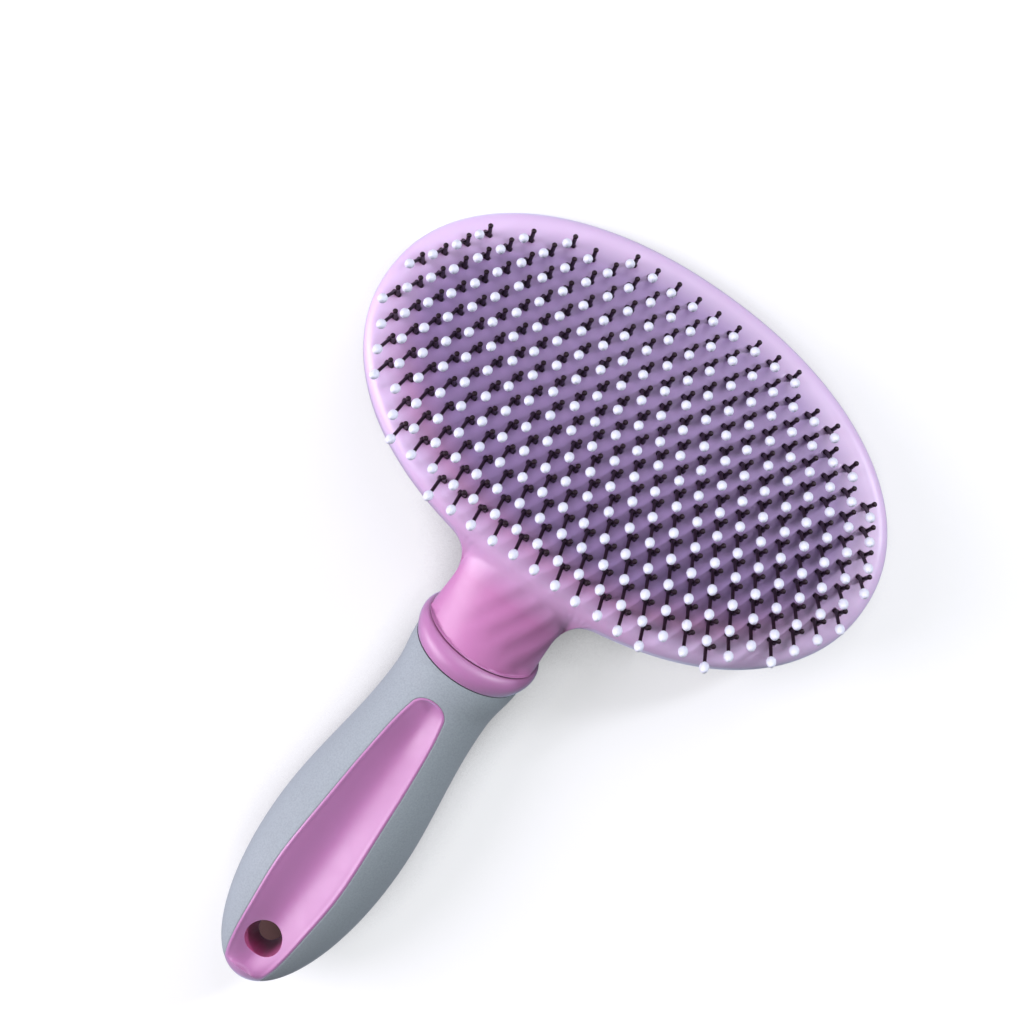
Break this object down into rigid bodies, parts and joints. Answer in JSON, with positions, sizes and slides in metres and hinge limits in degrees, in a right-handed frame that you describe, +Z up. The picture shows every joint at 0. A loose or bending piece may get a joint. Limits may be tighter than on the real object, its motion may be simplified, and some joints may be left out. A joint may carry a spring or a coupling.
{
  "type": "oval pet grooming pin brush",
  "caption": "Hand brush with an oval head of fine ball-tipped wire pins, a short flared neck, a rubber-sleeved handle with a scooped thumb window and a hang hole.",
  "frame": {"origin": "on the resting plane, under the middle of the brush's bounding box", "axes": "+Y along the handle towards the head, +Z up out of the resting plane on the pins' side, +X along the oval head's long axis"},
  "size_m": [0.1428, 0.207, 0.0384],
  "materials": {
    "pink_plastic": "satin lilac pink moulding",
    "magenta_plastic": "satin pink moulding",
    "grey_rubber": "soft matte grey",
    "pin_wire": "dark coated wire with white tips",
    "natural_plastic": "uncoloured moulding",
    "zinc_steel": "zinc plated"
  },
  "bodies": {
    "root": {"front_shell": "pink_plastic", "back_cover": "pink_plastic", "handle_core": "magenta_plastic", "grip_sleeve": "grey_rubber", "pin_retainer": "natural_plastic", "neck_screw_1": "zinc_steel", "neck_screw_2": "zinc_steel", "pin_row_01": "pin_wire", "pin_row_02": "pin_wire", "pin_row_03": "pin_wire", "pin_row_04": "pin_wire", "pin_row_05": "pin_wire", "pin_row_06": "pin_wire", "pin_row_07": "pin_wire", "pin_row_08": "pin_wire", "pin_row_09": "pin_wire", "pin_row_10": "pin_wire", "pin_row_11": "pin_wire", "pin_row_12": "pin_wire", "pin_row_13": "pin_wire", "pin_row_14": "pin_wire", "pin_row_15": "pin_wire"}
  },
  "joints": []
}
